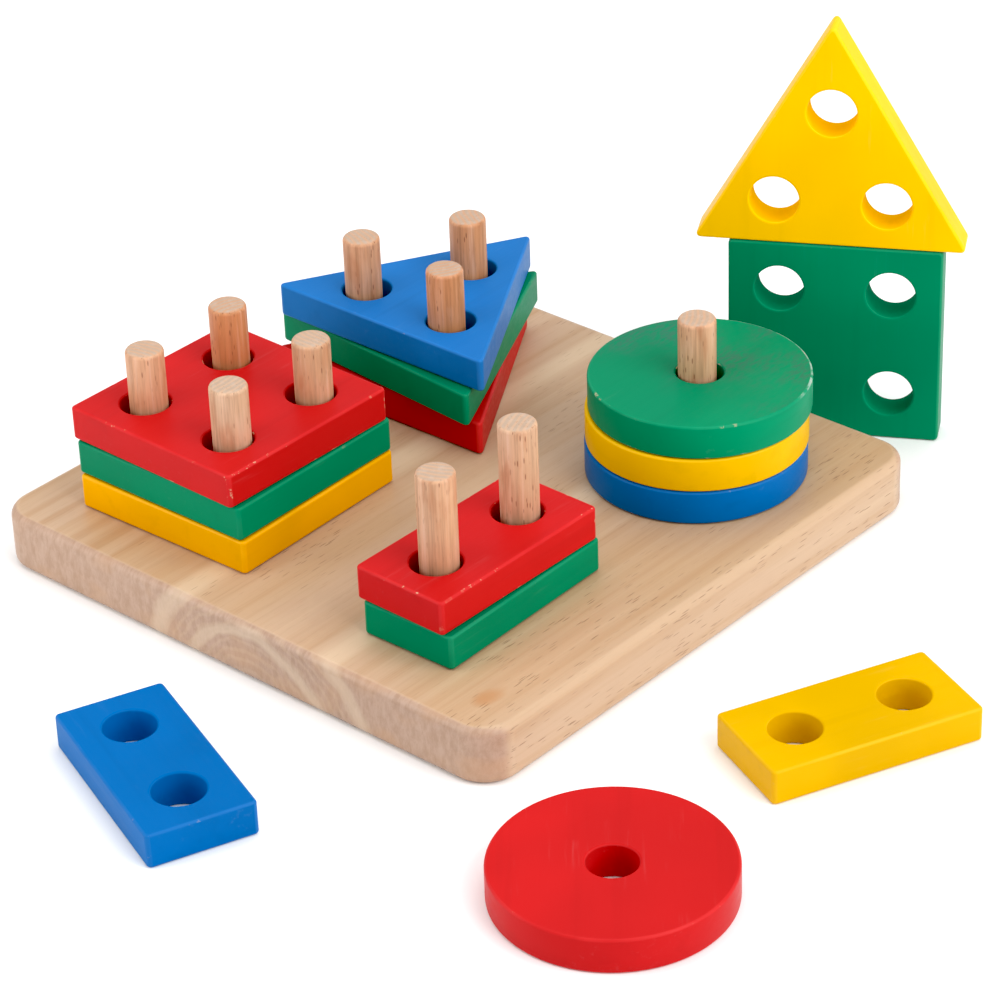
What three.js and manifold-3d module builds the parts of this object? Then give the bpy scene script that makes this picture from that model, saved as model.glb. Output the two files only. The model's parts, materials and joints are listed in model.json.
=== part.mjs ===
// A wooden shape-sorting board with stacking blocks. Units are millimetres and +Z is up.
//
// A square board carries ten dowel pegs in four stations: four pegs for the squares, three for
// the triangles, two for the rectangles and one for the discs. Sixteen painted blocks, four of
// each shape, drop over the pegs. Eleven are on their pegs. The other five stand beside the
// board: two rectangles and a disc lie flat, and a square stands on edge under a triangle,
// like a small house.
//
// The origin is the middle of the board's underside, which stands on the table.

import * as THREE from 'three';
import { mergeVertices } from 'three/addons/utils/BufferGeometryUtils.js';
import Module from 'manifold-3d';

// ---- Driving dimensions ------------------------------------------------------------------

const BOARD_SIDE = 205;
const BOARD_THICKNESS = 19;
const BOARD_CORNER_RADIUS = 12;
const BOARD_EDGE_ROUND = 2.8;

const PEG_DIAMETER = 12;
const PEG_STAND = 53.5; // length above the board
const PEG_SEAT_DEPTH = 12; // length glued into the board
const PEG_TIP_ROUND = 1.2;
const PEG_SPACING = 36; // between neighbouring pegs of one station

const BLOCK_THICKNESS = 11.2;
const SQUARE_SIDE = 69;
const TRIANGLE_SIDE = 88;
const RECTANGLE_LENGTH = 69;
const RECTANGLE_WIDTH = 34;
const DISC_DIAMETER = 70;
const BLOCK_CORNER_RADIUS = 1.5;

const HOLE_PLAY = 4; // a block's hole is wider than its peg by this much
const DISC_HOLE_PLAY = 3;
const GLUE_GAP = 0.3; // round a glued peg and under its foot
const REST_GAP = 0.3; // between a block and what it lies on

// Each row and column of the board holds two shapes. These are the shares of its free length
// that lie outside the two; the rest lies between them.
const FRONT_ROW = { outsideLow: 0.195, outsideHigh: 0.317 }; // square, then rectangle, along X
const BACK_ROW = { outsideLow: 0.257, outsideHigh: 0.265 }; // triangle, then disc, along X
const LEFT_COLUMN = { outsideLow: 0.32, outsideHigh: 0.212 }; // square, then triangle, along Y
const RIGHT_COLUMN = { outsideLow: 0.295, outsideHigh: 0.24 }; // rectangle, then disc, along Y

// Where the loose blocks lie: distances out from the board's edges, and along them.
const BLUE_RECTANGLE = { along: 25.5, outFromBoard: 56.5, turn: 68.4 };
const YELLOW_RECTANGLE = { along: -18, outFromBoard: 63.5, turn: -23.3 };
const RED_DISC = { outFromSide: 56, outFromFront: 13 };
const HOUSE = { along: 56.5, behindBoard: 1, turn: 29.5 };
const ROOF_SHIFT = -1.8; // the triangle's step along the top edge of the square it stands on

const ROUND_STEPS = 24; // facets round a peg and round a hole
const DISC_STEPS = 48;
const CORNER_STEPS = 3;
const BOARD_CORNER_STEPS = 8;
const BOARD_EDGE_STEPS = 3;
const PEG_TIP_STEPS = 3;

const TRIANGLE_HEIGHT = TRIANGLE_SIDE * Math.sin(Math.PI / 3);
const HALF_BOARD = BOARD_SIDE / 2;

const wasm = await Module();
wasm.setup();

// ---- Materials ---------------------------------------------------------------------------

function bareWood(colour) {
  return new THREE.MeshStandardMaterial({ color: colour, roughness: 0.6, metalness: 0 });
}

function paintedWood(colour) {
  return new THREE.MeshStandardMaterial({ color: colour, roughness: 0.35, metalness: 0 });
}

const BOARD_WOOD = bareWood(0xd9b88f);
const PEG_WOOD = bareWood(0xcf9c78);
const PAINT = {
  red: paintedWood(0xcc1a1f),
  green: paintedWood(0x0a8a5a),
  yellow: paintedWood(0xf5c000),
  blue: paintedWood(0x1268b8),
};

// ---- Outlines ----------------------------------------------------------------------------

function arcPoints(x, y, radius, from, to, steps) {
  const points = [];
  for (let i = 0; i <= steps; i += 1) {
    const angle = from + ((to - from) * i) / steps;
    points.push(new THREE.Vector2(x + radius * Math.cos(angle), y + radius * Math.sin(angle)));
  }
  return points;
}

function circlePoints(x, y, radius, steps) {
  const points = arcPoints(x, y, radius, 0, 2 * Math.PI, steps);
  points.pop();
  return points;
}

// The outline of a convex polygon, given anticlockwise, with every corner rounded.
function roundedPolygon(corners, radius, steps) {
  const points = [];
  corners.forEach((corner, i) => {
    const before = corners[(i + corners.length - 1) % corners.length];
    const after = corners[(i + 1) % corners.length];
    const incoming = corner.clone().sub(before).angle();
    const turn = (after.clone().sub(corner).angle() - incoming + 2 * Math.PI) % (2 * Math.PI);
    const inward = incoming + turn / 2 + Math.PI / 2;
    const setBack = radius / Math.cos(turn / 2);
    const x = corner.x + setBack * Math.cos(inward);
    const y = corner.y + setBack * Math.sin(inward);
    const start = incoming - Math.PI / 2;
    points.push(...arcPoints(x, y, radius, start, start + turn, steps));
  });
  return points;
}

function rectangleCorners(width, length) {
  return [
    new THREE.Vector2(-width / 2, -length / 2),
    new THREE.Vector2(width / 2, -length / 2),
    new THREE.Vector2(width / 2, length / 2),
    new THREE.Vector2(-width / 2, length / 2),
  ];
}

// An equilateral triangle about its centroid, with its base towards -Y.
function triangleCorners(side) {
  const height = side * Math.sin(Math.PI / 3);
  return [
    new THREE.Vector2(-side / 2, -height / 3),
    new THREE.Vector2(side / 2, -height / 3),
    new THREE.Vector2(0, (2 * height) / 3),
  ];
}

// ---- The four shapes: a block's outline and the pegs that it drops over -------------------

const SHAPES = {
  square: {
    outline: roundedPolygon(
      rectangleCorners(SQUARE_SIDE, SQUARE_SIDE), BLOCK_CORNER_RADIUS, CORNER_STEPS),
    pegs: rectangleCorners(PEG_SPACING, PEG_SPACING),
    play: HOLE_PLAY,
  },
  triangle: {
    outline: roundedPolygon(triangleCorners(TRIANGLE_SIDE), BLOCK_CORNER_RADIUS, CORNER_STEPS),
    pegs: triangleCorners(PEG_SPACING),
    play: HOLE_PLAY,
  },
  rectangle: {
    outline: roundedPolygon(
      rectangleCorners(RECTANGLE_WIDTH, RECTANGLE_LENGTH), BLOCK_CORNER_RADIUS, CORNER_STEPS),
    pegs: [new THREE.Vector2(0, -PEG_SPACING / 2), new THREE.Vector2(0, PEG_SPACING / 2)],
    play: HOLE_PLAY,
  },
  disc: {
    outline: circlePoints(0, 0, DISC_DIAMETER / 2, DISC_STEPS),
    pegs: [new THREE.Vector2(0, 0)],
    play: DISC_HOLE_PLAY,
  },
};

// ---- Stations ----------------------------------------------------------------------------

// Centres of two shapes that share one row or column of the board.
function shareOut(lowSize, highSize, shares) {
  const free = BOARD_SIDE - lowSize - highSize;
  return {
    low: -HALF_BOARD + free * shares.outsideLow + lowSize / 2,
    high: HALF_BOARD - free * shares.outsideHigh - highSize / 2,
  };
}

const frontRow = shareOut(SQUARE_SIDE, RECTANGLE_WIDTH, FRONT_ROW);
const backRow = shareOut(TRIANGLE_SIDE, DISC_DIAMETER, BACK_ROW);
const leftColumn = shareOut(SQUARE_SIDE, TRIANGLE_HEIGHT, LEFT_COLUMN);
const rightColumn = shareOut(RECTANGLE_LENGTH, DISC_DIAMETER, RIGHT_COLUMN);

// A triangle's centroid lies a sixth of its height nearer its base than the middle does.
const triangleCentroidY = leftColumn.high - TRIANGLE_HEIGHT / 6;

// Blocks are listed from the board up. A block's shift and twist are how it came to rest on its
// pegs, as shares of the play all round a peg: the shift moves the whole block, and the twist
// moves its holes sideways round its middle. Discs have no twist and take any turn, in degrees.
const STATIONS = [
  {
    shape: 'square',
    x: frontRow.low,
    y: leftColumn.low,
    blocks: [
      { colour: 'yellow', shift: [0.2, -0.2], twist: 0.4 },
      { colour: 'green', shift: [-0.05, -0.05], twist: 0.25 },
      { colour: 'red', shift: [-0.4, -0.35], twist: -0.07 },
    ],
  },
  {
    shape: 'triangle',
    x: backRow.low,
    y: triangleCentroidY,
    blocks: [
      { colour: 'red', shift: [-0.3, 0.1], twist: 0.22 },
      { colour: 'green', shift: [0.05, 0.05], twist: -0.76 },
      { colour: 'blue', shift: [0.4, 0.4], twist: 0.13 },
    ],
  },
  {
    shape: 'rectangle',
    x: frontRow.high,
    y: rightColumn.low,
    blocks: [
      { colour: 'green', shift: [0.25, -0.05], twist: 0.22 },
      { colour: 'red', shift: [-0.25, -0.35], twist: -0.06 },
    ],
  },
  {
    shape: 'disc',
    x: backRow.high,
    y: rightColumn.high,
    blocks: [
      { colour: 'blue', shift: [-0.27, -0.2], turn: 20 },
      { colour: 'yellow', shift: [-0.07, -0.13], turn: 75 },
      { colour: 'green', shift: [0.4, 0.33], turn: 0 },
    ],
  },
];

// ---- Geometry ----------------------------------------------------------------------------

function blockGeometry({ outline, pegs, play }) {
  const shape = new THREE.Shape(outline);
  const holeRadius = (PEG_DIAMETER + play) / 2;
  for (const peg of pegs) {
    shape.holes.push(new THREE.Path(circlePoints(peg.x, peg.y, holeRadius, ROUND_STEPS)));
  }
  return new THREE.ExtrudeGeometry(shape, { depth: BLOCK_THICKNESS, bevelEnabled: false });
}

// A dowel with a rounded tip. Its own zero is at the board's top face.
function pegGeometry() {
  const radius = PEG_DIAMETER / 2;
  const profile = [
    new THREE.Vector2(0, -PEG_SEAT_DEPTH),
    new THREE.Vector2(radius, -PEG_SEAT_DEPTH),
    ...arcPoints(radius - PEG_TIP_ROUND, PEG_STAND - PEG_TIP_ROUND, PEG_TIP_ROUND,
      0, Math.PI / 2, PEG_TIP_STEPS),
    new THREE.Vector2(0, PEG_STAND),
  ];
  return new THREE.LatheGeometry(profile, ROUND_STEPS).rotateX(Math.PI / 2);
}

function boardBlankGeometry() {
  const outline = roundedPolygon(
    rectangleCorners(BOARD_SIDE, BOARD_SIDE), BOARD_CORNER_RADIUS, BOARD_CORNER_STEPS);
  const blank = new THREE.ExtrudeGeometry(new THREE.Shape(outline), {
    depth: BOARD_THICKNESS - 2 * BOARD_EDGE_ROUND,
    bevelThickness: BOARD_EDGE_ROUND,
    bevelSize: BOARD_EDGE_ROUND,
    bevelOffset: -BOARD_EDGE_ROUND,
    bevelSegments: BOARD_EDGE_STEPS,
  });
  return blank.translate(0, 0, BOARD_EDGE_ROUND);
}

// The drill that cuts one peg's blind hole, from above the board down to the hole's bottom.
function pegDrillGeometry(x, y) {
  const depth = PEG_SEAT_DEPTH + GLUE_GAP;
  const length = depth + BOARD_THICKNESS;
  const drill = new THREE.CylinderGeometry(
    PEG_DIAMETER / 2 + GLUE_GAP, PEG_DIAMETER / 2 + GLUE_GAP, length, ROUND_STEPS);
  drill.rotateX(Math.PI / 2);
  return drill.translate(x, y, BOARD_THICKNESS - depth + length / 2);
}

function solidFrom(geometry) {
  const bare = geometry.clone();
  bare.deleteAttribute('normal');
  bare.deleteAttribute('uv');
  const merged = mergeVertices(bare);
  return new wasm.Manifold(new wasm.Mesh({
    numProp: 3,
    vertProperties: merged.attributes.position.array,
    triVerts: new Uint32Array(merged.index.array),
  }));
}

function geometryFrom(solid) {
  const mesh = solid.getMesh();
  const geometry = new THREE.BufferGeometry();
  geometry.setAttribute('position', new THREE.BufferAttribute(mesh.vertProperties, 3));
  geometry.setIndex(new THREE.BufferAttribute(mesh.triVerts, 1));
  const faceted = geometry.toNonIndexed();
  faceted.computeVertexNormals();
  return faceted;
}

function boardGeometry() {
  let board = solidFrom(boardBlankGeometry());
  for (const station of STATIONS) {
    for (const peg of SHAPES[station.shape].pegs) {
      board = board.subtract(solidFrom(pegDrillGeometry(station.x + peg.x, station.y + peg.y)));
    }
  }
  return geometryFrom(board);
}

// ---- Meshes ------------------------------------------------------------------------------

function named(name, geometry, material) {
  const mesh = new THREE.Mesh(geometry, material);
  mesh.name = name;
  return mesh;
}

// Blocks of one shape are numbered from the bottom of their stack up, and then the loose ones.
function blockMesh(shape, number, colour) {
  return named(`${shape}_block_${number}_${colour}`, blockGeometry(SHAPES[shape]), PAINT[colour]);
}

function pegMeshes(station) {
  const { pegs } = SHAPES[station.shape];
  return pegs.map((peg, i) => {
    const name = pegs.length > 1 ? `${station.shape}_peg_${i + 1}` : `${station.shape}_peg`;
    const mesh = named(name, pegGeometry(), PEG_WOOD);
    mesh.position.set(peg.x, peg.y, 0);
    return mesh;
  });
}

// The turn of a block on its pegs, in radians, from its twist and how far out its pegs are.
function twistAngle({ pegs, play }, twist) {
  return (twist * play) / 2 / pegs[0].length();
}

function stackedBlockMeshes(station) {
  const shape = SHAPES[station.shape];
  return station.blocks.map((block, level) => {
    const mesh = blockMesh(station.shape, level + 1, block.colour);
    const [shiftX, shiftY] = block.shift.map((share) => (share * shape.play) / 2);
    mesh.position.set(shiftX, shiftY, REST_GAP + level * (BLOCK_THICKNESS + REST_GAP));
    mesh.rotation.z = station.shape === 'disc'
      ? THREE.MathUtils.degToRad(block.turn)
      : twistAngle(shape, block.twist);
    return mesh;
  });
}

function stationGroup(station) {
  const group = new THREE.Group();
  group.position.set(station.x, station.y, BOARD_THICKNESS);
  group.add(...pegMeshes(station), ...stackedBlockMeshes(station));
  return group;
}

function looseFlatBlocks() {
  const blue = blockMesh('rectangle', 3, 'blue');
  blue.position.set(BLUE_RECTANGLE.along, -HALF_BOARD - BLUE_RECTANGLE.outFromBoard, 0);
  blue.rotation.z = THREE.MathUtils.degToRad(BLUE_RECTANGLE.turn);

  const yellow = blockMesh('rectangle', 4, 'yellow');
  yellow.position.set(HALF_BOARD + YELLOW_RECTANGLE.outFromBoard, YELLOW_RECTANGLE.along, 0);
  yellow.rotation.z = THREE.MathUtils.degToRad(YELLOW_RECTANGLE.turn);

  const red = blockMesh('disc', 4, 'red');
  red.position.set(
    HALF_BOARD + RED_DISC.outFromSide, -HALF_BOARD - RED_DISC.outFromFront, 0);
  return [blue, yellow, red];
}

// A square on edge with a triangle on top, both upright, just behind the board. In the
// group's own frame their front faces lie in the XZ plane and look towards -Y.
function houseGroup() {
  const wall = blockMesh('square', 4, 'green');
  wall.rotation.x = Math.PI / 2;
  wall.position.set(0, BLOCK_THICKNESS, SQUARE_SIDE / 2);

  const roof = blockMesh('triangle', 4, 'yellow');
  roof.rotation.x = Math.PI / 2;
  roof.position.set(ROOF_SHIFT, BLOCK_THICKNESS, SQUARE_SIDE + REST_GAP + TRIANGLE_HEIGHT / 3);

  const house = new THREE.Group();
  const turn = THREE.MathUtils.degToRad(HOUSE.turn);
  const nearCornerToMiddle = (SQUARE_SIDE / 2) * Math.sin(turn);
  house.position.set(HOUSE.along, HALF_BOARD + HOUSE.behindBoard + nearCornerToMiddle, 0);
  house.rotation.z = turn;
  house.add(wall, roof);
  return house;
}

function shapeSortingBoard() {
  const group = new THREE.Group();
  group.add(named('base_board', boardGeometry(), BOARD_WOOD));
  for (const station of STATIONS) {
    group.add(stationGroup(station));
  }
  group.add(...looseFlatBlocks(), houseGroup());
  return group;
}

export default shapeSortingBoard();
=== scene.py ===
"""Wooden shape sorting board: its base board, its dowel pegs and its sixteen painted blocks.

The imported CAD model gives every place. Each piece here is made at the origin, turned the way it lies,
and moved until the middle of its box is the middle of the box of the CAD node that it stands for.
"""

import json
import math

import bmesh
import bpy
from mathutils import Euler, Matrix, Vector


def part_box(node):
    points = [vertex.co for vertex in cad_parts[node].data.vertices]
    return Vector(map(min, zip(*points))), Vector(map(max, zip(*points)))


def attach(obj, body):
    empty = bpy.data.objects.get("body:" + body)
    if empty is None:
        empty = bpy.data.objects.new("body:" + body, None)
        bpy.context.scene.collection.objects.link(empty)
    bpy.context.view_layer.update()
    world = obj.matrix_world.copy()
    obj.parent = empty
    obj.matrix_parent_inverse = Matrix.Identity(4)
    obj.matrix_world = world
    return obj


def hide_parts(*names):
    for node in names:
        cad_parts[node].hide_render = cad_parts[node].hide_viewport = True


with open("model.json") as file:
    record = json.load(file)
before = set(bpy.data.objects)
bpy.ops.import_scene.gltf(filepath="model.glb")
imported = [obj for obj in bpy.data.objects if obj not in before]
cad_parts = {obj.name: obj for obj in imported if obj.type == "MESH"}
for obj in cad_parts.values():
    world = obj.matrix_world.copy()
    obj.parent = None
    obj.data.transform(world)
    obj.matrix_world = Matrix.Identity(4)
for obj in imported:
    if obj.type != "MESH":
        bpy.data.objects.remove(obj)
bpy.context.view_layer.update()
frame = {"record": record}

bl_info = {
    "name": "Shape Sorting Board",
    "version": (1, 0, 0),
    "blender": (4, 5, 0),
    "location": "View3D > Sidebar > Shape Board",
    "description": "Builds a wooden shape sorting board with dowel pegs and painted stacking blocks",
    "category": "Add Mesh",
}

MM = 0.001
FULL_TURN = math.tau
QUARTER_TURN = math.pi / 2

# Points nearer than this in height are level, and points nearer than half of it are one point.
LEVEL = 0.001 * MM
DOUBLE = LEVEL / 2

# The upward part of a face's direction, past which it counts as flat and under which as upright.
NEARLY_FLAT = 0.98
NEARLY_UPRIGHT = 0.05

# How many flat steps each round stretch is made of.
BOARD_CORNER_STEPS = 14
BOARD_EDGE_STEPS = 6
SEAT_RIM_STEPS = 3
PEG_STEPS = 64
PEG_TIP_STEPS = 6
BLOCK_CORNER_STEPS = 6
TRIANGLE_CORNER_STEPS = 8
BLOCK_EDGE_STEPS = 4
HOLE_STEPS = 48
HOLE_RIM_STEPS = 4
DISC_STEPS = 128

BOARD_NODE = "base_board"
BOARD_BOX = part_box(BOARD_NODE)
BODY_OF = {node: body for body, nodes in frame["record"]["behaviour"]["bodies"].items() for node in nodes}
PEGS = sorted(node for node in BODY_OF if "_peg" in node)

FLAT = "flat"
UPRIGHT = "upright"

# Node, paint, how it lies, and how far it is turned on its pegs or on the table, in degrees.
SQUARES = (
    # The yellow square takes a deeper yellow, which is painted shade.
    ("square_block_1_yellow", "yellow_in_shade", FLAT, 1.8),
    ("square_block_2_green", "green", FLAT, 1.13),
    ("square_block_3_red", "red", FLAT, -0.32),
    ("square_block_4_green", "green", UPRIGHT, 29.5),
)
TRIANGLES = (
    ("triangle_block_1_red", "red", FLAT, 1.21),
    ("triangle_block_2_green", "green", FLAT, -4.19),
    ("triangle_block_3_blue", "blue", FLAT, 0.72),
    ("triangle_block_4_yellow", "yellow", UPRIGHT, 29.5),
)
RECTANGLES = (
    ("rectangle_block_1_green", "green", FLAT, 1.4),
    ("rectangle_block_2_red", "red", FLAT, -0.38),
    ("rectangle_block_3_blue", "blue", FLAT, 68.4),
    ("rectangle_block_4_yellow", "yellow", FLAT, -23.3),
)
DISCS = (
    ("disc_block_1_blue", "blue", FLAT, 20.0),
    ("disc_block_2_yellow", "yellow", FLAT, 75.0),
    ("disc_block_3_green", "green", FLAT, 0.0),
    ("disc_block_4_red", "red", FLAT, 40.0),
)

# How far each dowel's wood leans from the pale tone to the warm one.
WARMTH = {
    "square_peg_1": 0.55,
    "square_peg_2": 0.1,
    "square_peg_3": 0.3,
    "square_peg_4": 0.95,
    "triangle_peg_1": 0.6,
    "triangle_peg_2": 1.0,
    "triangle_peg_3": 0.8,
    "rectangle_peg_1": 0.35,
    "rectangle_peg_2": 0.15,
    "disc_peg": 0.4,
}

# Blocks whose colour is set apart from the rest of its paint: how much brighter it is, and how much paler.
# Most of these are painted light. The blue triangle is brighter and paler as a painted whitish reflection on
# it, the upright yellow triangle is brighter as painted light on its face, and the green disc is brighter
# partly as a painted highlight on its top. The loose yellow rectangle's paint is darker.
PAINT_TONES_AND_PAINTED_LIGHT = {
    "triangle_block_3_blue": (0.22, 0.012),
    "triangle_block_4_yellow": (0.2, 0.0),
    "disc_block_3_green": (0.12, 0.0),
    "rectangle_block_4_yellow": (-0.12, 0.0),
}

# The top blocks are knocked most: these have chipped rims, and one has a scuff on its top and a painted
# highlight along its back rim.
CHIPPED = ("square_block_3_red", "rectangle_block_2_red", "disc_block_3_green")
SCUFFED_AND_HIGHLIT = ("disc_block_3_green",)
CHIPPED_WEAR = 2.4
USUAL_WEAR = 0.6

# The board is glued up from three staves, along Y. These are the places of the two joints across it.
STAVE_JOINTS = (-52 * MM, 72 * MM)

# Where the heart of the log runs under the board, and the radius and half width of its pale rings.
HEART_X = 9 * MM
HEART_Z = -16 * MM
PALE_RINGS = ((31 * MM, 3.0 * MM), (46 * MM, 4.6 * MM))

# How far apart the yearly rings are on the board's top, and on its end grain.
TOP_YEAR = 7.5 * MM
END_YEAR = 3.1 * MM

# Where a small stain lies on the board.
STAIN_X = 88 * MM
STAIN_Y = -85 * MM

FLOOR_HALF_WIDTH = 6.0
FLOOR_DROP = 0.1 * MM
SENSOR_WIDTH = 36.0

# Each light's name, the setting that holds its power, its width, its place and the place that it faces.
LIGHTS = (
    ("key_light", "key", 1.2, (1.3, 0.12, 0.95), (0.0, 0.0, 0.03)),
    ("fill_light", "fill", 0.4, (-0.35, -0.55, 0.32), (-0.1, 0.0, 0.03)),
    ("top_light", "top", 1.6, (-0.1, 0.2, 1.6), (0.0, 0.0, 0.0)),
)


# ---------------------------------------------------------------- sizes, colours and light


def length(name, description, default):
    return bpy.props.FloatProperty(
        name=name, description=description, default=default, min=0.0, subtype="DISTANCE", unit="LENGTH"
    )


def angle(name, description, default):
    return bpy.props.FloatProperty(
        name=name, description=description, default=math.radians(default), subtype="ANGLE", unit="ROTATION"
    )


def colour(name, description, default):
    return bpy.props.FloatVectorProperty(
        name=name, description=description, default=default, min=0.0, max=1.0, size=3, subtype="COLOR"
    )


def amount(name, description, default, most=1.0):
    return bpy.props.FloatProperty(name=name, description=description, default=default, min=0.0, max=most)


class SHAPEBOARD_PG_board(bpy.types.PropertyGroup):
    """Sizes of the base board."""

    side: length("Side", "Length of each side of the square board", BOARD_BOX[1].x - BOARD_BOX[0].x)
    thickness: length("Thickness", "Thickness of the board", BOARD_BOX[1].z - BOARD_BOX[0].z)
    corner: length("Corner radius", "Radius of the four upright corners", 12 * MM)
    edge: length("Edge rounding", "Radius that the long edges are rounded over to", 2.8 * MM)
    seat_depth: length("Seat depth", "How deep each peg goes into the board", 12 * MM)
    seat_gap: length("Glue gap", "Room for glue round a seated peg", 0.1 * MM)
    seat_rim: length("Seat rim", "Rounding at the mouth of a peg's hole", 0.3 * MM)


class SHAPEBOARD_PG_pegs(bpy.types.PropertyGroup):
    """Sizes of the dowel pegs."""

    tip: length("Tip rounding", "Radius that the top rim of a peg is rounded over to", 1.5 * MM)
    foot: length("Foot rounding", "Rounding of the end that is glued into the board", 0.5 * MM)


class SHAPEBOARD_PG_blocks(bpy.types.PropertyGroup):
    """Sizes of the stacking blocks."""

    square_side: length("Square side", "Side of a square block", 69 * MM)
    triangle_side: length("Triangle side", "Side of a triangle block, before its corners are cut", 88 * MM)
    rectangle_length: length("Rectangle length", "Long side of a rectangle block", 69 * MM)
    rectangle_width: length("Rectangle width", "Short side of a rectangle block", 34 * MM)
    disc_diameter: length("Disc diameter", "Diameter of a disc block", 70 * MM)
    thickness: length("Thickness", "Thickness of every block", 11.2 * MM)
    corner: length("Corner radius", "Radius of the upright corners", 1.5 * MM)
    edge: length("Edge rounding", "Radius that the rims are sanded to", 0.9 * MM)
    spacing: length("Hole spacing", "Distance between neighbouring holes", 36 * MM)
    hole: length("Hole diameter", "Diameter of the holes in squares, triangles and rectangles", 16 * MM)
    disc_hole: length("Disc hole diameter", "Diameter of the hole in a disc", 15 * MM)
    hole_rim: length("Hole rounding", "Radius that the mouths of the holes are sanded to", 0.7 * MM)


class SHAPEBOARD_PG_finishes(bpy.types.PropertyGroup):
    """Colours of the woods and of the paints."""

    board_tan: colour("Board, tan", "Main colour of the board's wood", (0.505, 0.325, 0.192))
    board_pale: colour("Board, pale", "Pale growth bands in the board", (0.64, 0.47, 0.305))
    board_dark: colour("Board, dark", "Orange-brown streaks in the board", (0.40, 0.215, 0.095))
    board_end: colour("Board, end grain", "Tint of the board's two end-grain faces", (0.430, 0.268, 0.182))
    board_blush: colour("Board, blush", "Pinkish patches in the board's end grain", (0.50, 0.29, 0.165))
    board_stain: colour("Board, stain", "Small warm stain near the front corner", (0.44, 0.19, 0.06))
    board_pore: colour("Board, pores", "Open pores and flecks in the board", (0.20, 0.10, 0.045))
    peg_pale: colour("Peg, pale", "Pale wood of the dowels", (0.67, 0.42, 0.26))
    peg_warm: colour("Peg, warm", "Pinkish-orange wood of the dowels", (0.60, 0.25, 0.100))
    peg_dark: colour("Peg, dark", "Reddish blotches in the dowels", (0.42, 0.155, 0.062))
    peg_end: colour("Peg, end grain", "Sawn top of the dowels", (0.44, 0.32, 0.235))
    peg_pore: colour("Peg, pores", "Dark flecks along a dowel", (0.20, 0.07, 0.03))
    red: colour("Red paint", "Colour of the red blocks", (0.535, 0.014, 0.015))
    green: colour("Green paint", "Colour of the green blocks", (0.001, 0.215, 0.098))
    yellow: colour("Yellow paint", "Colour of the yellow blocks", (0.76, 0.43, 0.001))
    blue: colour("Blue paint", "Colour of the blue blocks", (0.001, 0.122, 0.385))
    # A deeper, more orange yellow for the yellow square at the foot of its stack: painted shade, for the
    # shade that this block sits in.
    yellow_in_shade: colour("Deep yellow paint", "Colour of the yellow square", (0.78, 0.36, 0.001))
    scuff: colour("Scuffed paint", "Green paint dulled by other blocks", (0.045, 0.150, 0.105))
    wear: amount("Edge wear", "How much paint has rubbed off the rims and corners", 0.35)
    gloss: amount("Paint gloss", "Shine of the paint, from dull to glossy", 0.55)


class SHAPEBOARD_PG_stage(bpy.types.PropertyGroup):
    """Camera, lights and floor."""

    turn: angle("Camera turn", "How far the camera stands round from the front", 42.22)
    lift: angle("Camera height", "Angle of the camera above the floor", 31.173)
    roll: angle("Camera roll", "Tilt of the camera about its own view", -2.164)
    distance: length("Camera distance", "Distance of the camera from the board", 1176.194 * MM)
    right: length("Camera right", "How far the camera is moved to its right", 12.654 * MM)
    rise: length("Camera rise", "How far the camera is moved up in its own view", 9.363 * MM)
    lens: bpy.props.FloatProperty(
        name="Lens",
        description="Focal length on a 36 mm sensor",
        default=133.754,
        subtype="DISTANCE_CAMERA",
    )
    floor: colour("Floor", "Colour of the floor", (0.95, 0.95, 0.95))
    sky: amount("Sky light", "Strength of the even light from all round", 0.70, 10.0)
    key: amount("Key light", "Power of the large soft light on the right, in watts", 18.2, 1000.0)
    fill: amount("Fill light", "Power of the soft light at the left, in watts", 1.7, 1000.0)
    top: amount("Top light", "Power of the soft light overhead, in watts", 10.5, 1000.0)
    black: amount("Black point", "Light at or under this level shows as black", 0.012, 0.2)


# ---------------------------------------------------------------- working in wood


def round_edges(bm, edges, reach, steps):
    """Rounds the edges over, and marks the new faces so that they shade smoothly and can show wear."""
    rounded = bm.faces.layers.int.get("rounded") or bm.faces.layers.int.new("rounded")
    made = bmesh.ops.bevel(
        bm,
        geom=edges,
        offset=reach,
        offset_type="OFFSET",
        segments=steps,
        profile=0.5,
        affect="EDGES",
        clamp_overlap=True,
        material=-1,
    )
    for face in made["faces"]:
        face.smooth = True
        face[rounded] = 1


def rim_edges(bm, height):
    """The edges that lie flat at one height."""
    return [e for e in bm.edges if all(abs(v.co.z - height) < LEVEL for v in e.verts)]


def upright_edges(bm):
    """The edges that rise."""
    return [e for e in bm.edges if abs(e.verts[0].co.z - e.verts[1].co.z) > MM]


def prism(corners, radius, low, high, round_wall=False):
    """A closed slab with an even outline of that many corners, the first of them towards +Y."""
    bm = bmesh.new()
    bmesh.ops.create_cone(
        bm, cap_ends=True, segments=corners, radius1=radius, radius2=radius, depth=high - low
    )
    bmesh.ops.translate(bm, verts=bm.verts, vec=(0, 0, (low + high) / 2))
    for face in bm.faces:
        face.smooth = round_wall and abs(face.normal.z) < 0.5
    return bm


def square_prism(side, low, high):
    """A closed square slab with its sides along X and Y."""
    bm = prism(4, side / math.sqrt(2), low, high)
    turn = Matrix.Rotation(QUARTER_TURN / 2, 3, "Z")
    bmesh.ops.rotate(bm, verts=bm.verts, cent=(0, 0, 0), matrix=turn)
    return bm


def open_flat_faces(bm, heights):
    """Takes away the flat faces at those heights, so that holes can be let into them."""
    flats = [f for f in bm.faces if any(all(abs(v.co.z - h) < LEVEL for v in f.verts) for h in heights)]
    bmesh.ops.delete(bm, geom=flats, context="FACES_ONLY")


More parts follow.
